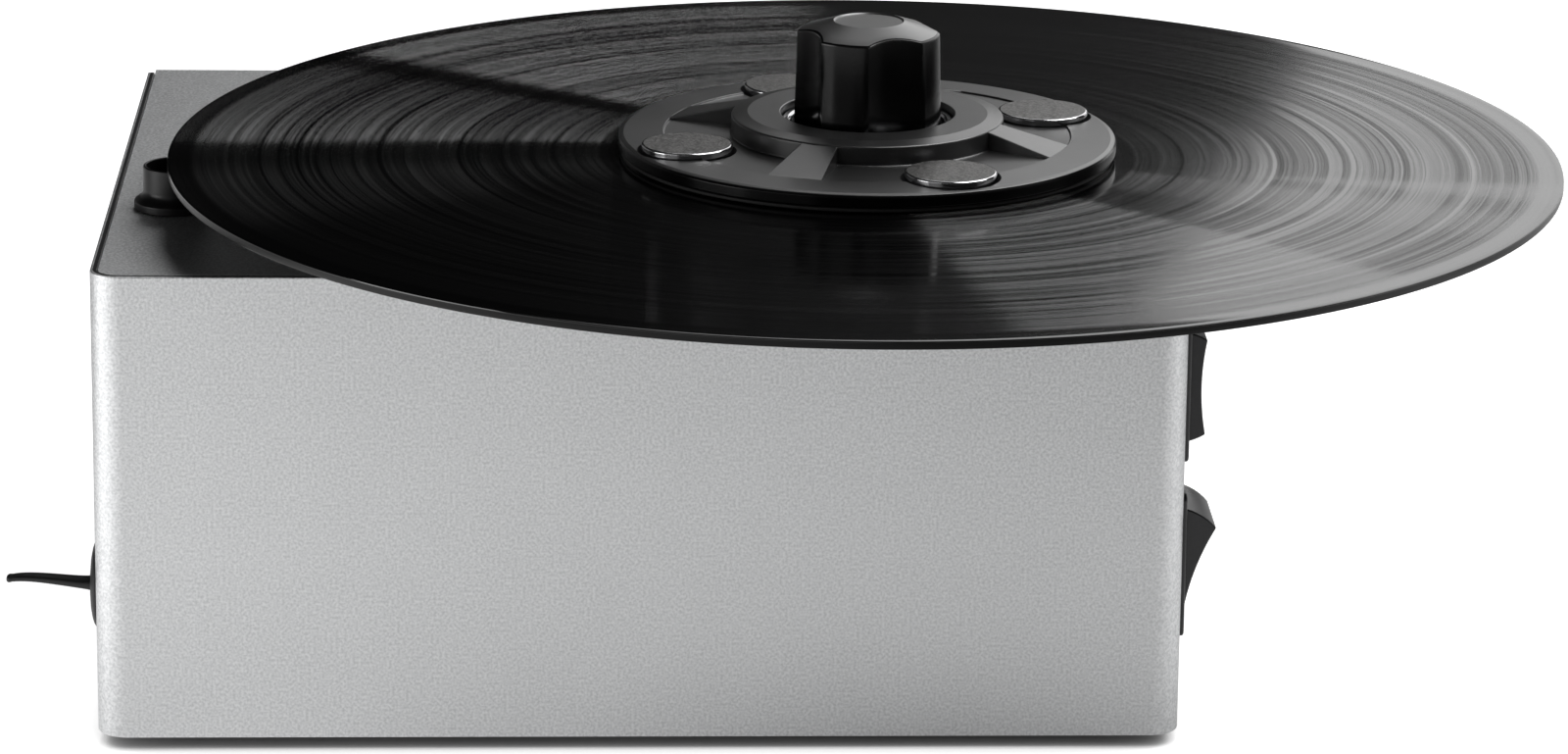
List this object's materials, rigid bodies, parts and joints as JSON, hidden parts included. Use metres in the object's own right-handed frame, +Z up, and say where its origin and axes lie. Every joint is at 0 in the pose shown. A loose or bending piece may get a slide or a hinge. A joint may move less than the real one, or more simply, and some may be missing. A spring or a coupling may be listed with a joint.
{
  "type": "record cleaning machine",
  "caption": "Compact vacuum cleaning machine for LP records: silver sheet casing, motor-driven platter, screw-down record clamp, arm socket, rocker switches and drain plug.",
  "frame": {"origin": "on the floor plane under the feet, below the middle of the part's bounding box", "axes": "+Z up, -Y towards the user in front of the long front face, +X towards the side with the rocker switches"},
  "size_m": [0.3366, 0.3014, 0.1463],
  "materials": {
    "casing_sheet": "satin anodised skin on a black core",
    "plate_steel": "zinc plated",
    "foot_rubber": "matt",
    "platter_metal": "fine black powder coat",
    "mat_rubber": "matt",
    "shaft_steel": "turned and polished",
    "bearing_brass": "turned",
    "gear_nylon": "moulded nylon",
    "record_vinyl": "pressed with a fine spiral groove",
    "label_paper": "plain printed paper",
    "clamp_black": "fine satin black coat",
    "clamp_seal_rubber": "soft matt ring",
    "weight_chrome": "polished edge, finely blasted top",
    "knob_black": "satin moulded",
    "socket_black": "satin moulded",
    "tank_plastic": "translucent white",
    "plug_rubber": "soft moulded rubber",
    "hose_rubber": "ribbed hose",
    "blower_plastic": "moulded",
    "motor_can": "drawn steel can",
    "switch_black": "satin moulded",
    "board_green": "solder mask",
    "module_black": "potted case"
  },
  "bodies": {
    "casing": {"body_wrap": "casing_sheet", "deck_cover": "casing_sheet", "base_plate": "plate_steel", "foot_front_left": "foot_rubber", "foot_front_right": "foot_rubber", "foot_rear_left": "foot_rubber", "foot_rear_right": "foot_rubber", "post_front_left": "plate_steel", "post_front_right": "plate_steel", "post_rear_left": "plate_steel", "post_rear_right": "plate_steel", "rear_screw_1": "shaft_steel", "rear_screw_2": "shaft_steel", "rear_screw_3": "shaft_steel", "rear_screw_4": "shaft_steel", "spindle_bearing": "bearing_brass", "bearing_nut": "plate_steel", "platter_motor": "motor_can", "motor_bracket": "plate_steel", "arm_socket": "socket_black", "socket_nut": "plate_steel", "suction_pipe": "tank_plastic", "waste_tank": "tank_plastic", "tank_lid": "tank_plastic", "drain_outlet": "tank_plastic", "vacuum_hose": "hose_rubber", "blower_housing": "blower_plastic", "blower_motor": "motor_can", "motor_cradle": "hose_rubber", "exhaust_duct": "blower_plastic", "lower_switch_body": "switch_black", "upper_switch_body": "switch_black", "power_inlet": "switch_black", "control_board": "board_green", "board_spacer_1": "gear_nylon", "board_spacer_2": "gear_nylon", "board_spacer_3": "gear_nylon", "board_spacer_4": "gear_nylon", "power_module": "module_black"},
    "turntable": {"platter": "platter_metal", "platter_mat": "mat_rubber", "spindle": "shaft_steel", "drive_gear": "gear_nylon"},
    "pinion": {"motor_pinion": "bearing_brass"},
    "record": {"vinyl_record": "record_vinyl", "record_label": "label_paper"},
    "clamp": {"clamp_disc": "clamp_black", "clamp_seal": "clamp_seal_rubber", "clamp_weight_1": "weight_chrome", "clamp_weight_2": "weight_chrome", "clamp_weight_3": "weight_chrome", "clamp_weight_4": "weight_chrome", "clamp_bushing": "weight_chrome"},
    "knob": {"clamp_knob": "knob_black"},
    "fan": {"impeller": "gear_nylon"},
    "power_rocker": {"lower_rocker": "switch_black"},
    "direction_rocker": {"upper_rocker": "switch_black"},
    "plug": {"drain_plug": "plug_rubber"},
    "fuse_holder": {"fuse_drawer": "switch_black"}
  },
  "joints": [
    {"name": "platter_spin", "type": "hinge", "parent": "casing", "child": "turntable", "pos_m": [0.01752, 0, 0.104], "axis": [0, 0, 1], "continuous": true},
    {"name": "pinion_spin", "type": "hinge", "parent": "casing", "child": "pinion", "pos_m": [0.01752, 0.0312, 0.09], "axis": [0, 0, 1], "continuous": true},
    {"name": "fan_spin", "type": "hinge", "parent": "casing", "child": "fan", "pos_m": [-0.06888, 0.0884, 0.063], "axis": [1, 0, 0], "continuous": true},
    {"name": "record_lift", "type": "slide", "parent": "turntable", "child": "record", "axis": [0, 0, 1], "range_m": [0, 0.035]},
    {"name": "clamp_lift", "type": "slide", "parent": "record", "child": "clamp", "axis": [0, 0, 1], "range_m": [0, 0.035]},
    {"name": "knob_turn", "type": "hinge", "parent": "clamp", "child": "knob", "pos_m": [0.01752, 0, 0.117], "axis": [0, 0, 1], "range_deg": [0, 1080]},
    {"name": "power_rocker_tilt", "type": "hinge", "parent": "casing", "child": "power_rocker", "pos_m": [0.08482, -0.0345, 0.0377], "axis": [0, -1, 0], "range_deg": [0, 24]},
    {"name": "direction_rocker_tilt", "type": "hinge", "parent": "casing", "child": "direction_rocker", "pos_m": [0.08482, -0.0345, 0.0767], "axis": [0, -1, 0], "range_deg": [-12, 12]},
    {"name": "plug_pull", "type": "slide", "parent": "casing", "child": "plug", "axis": [-1, 0, 0], "range_m": [0, 0.03]},
    {"name": "fuse_drawer_slide", "type": "slide", "parent": "casing", "child": "fuse_holder", "axis": [0, 1, 0], "range_m": [0, 0.014]}
  ],
  "couplings": [
    {"joint": "pinion_spin", "follows": "platter_spin", "ratio": -3}
  ]
}
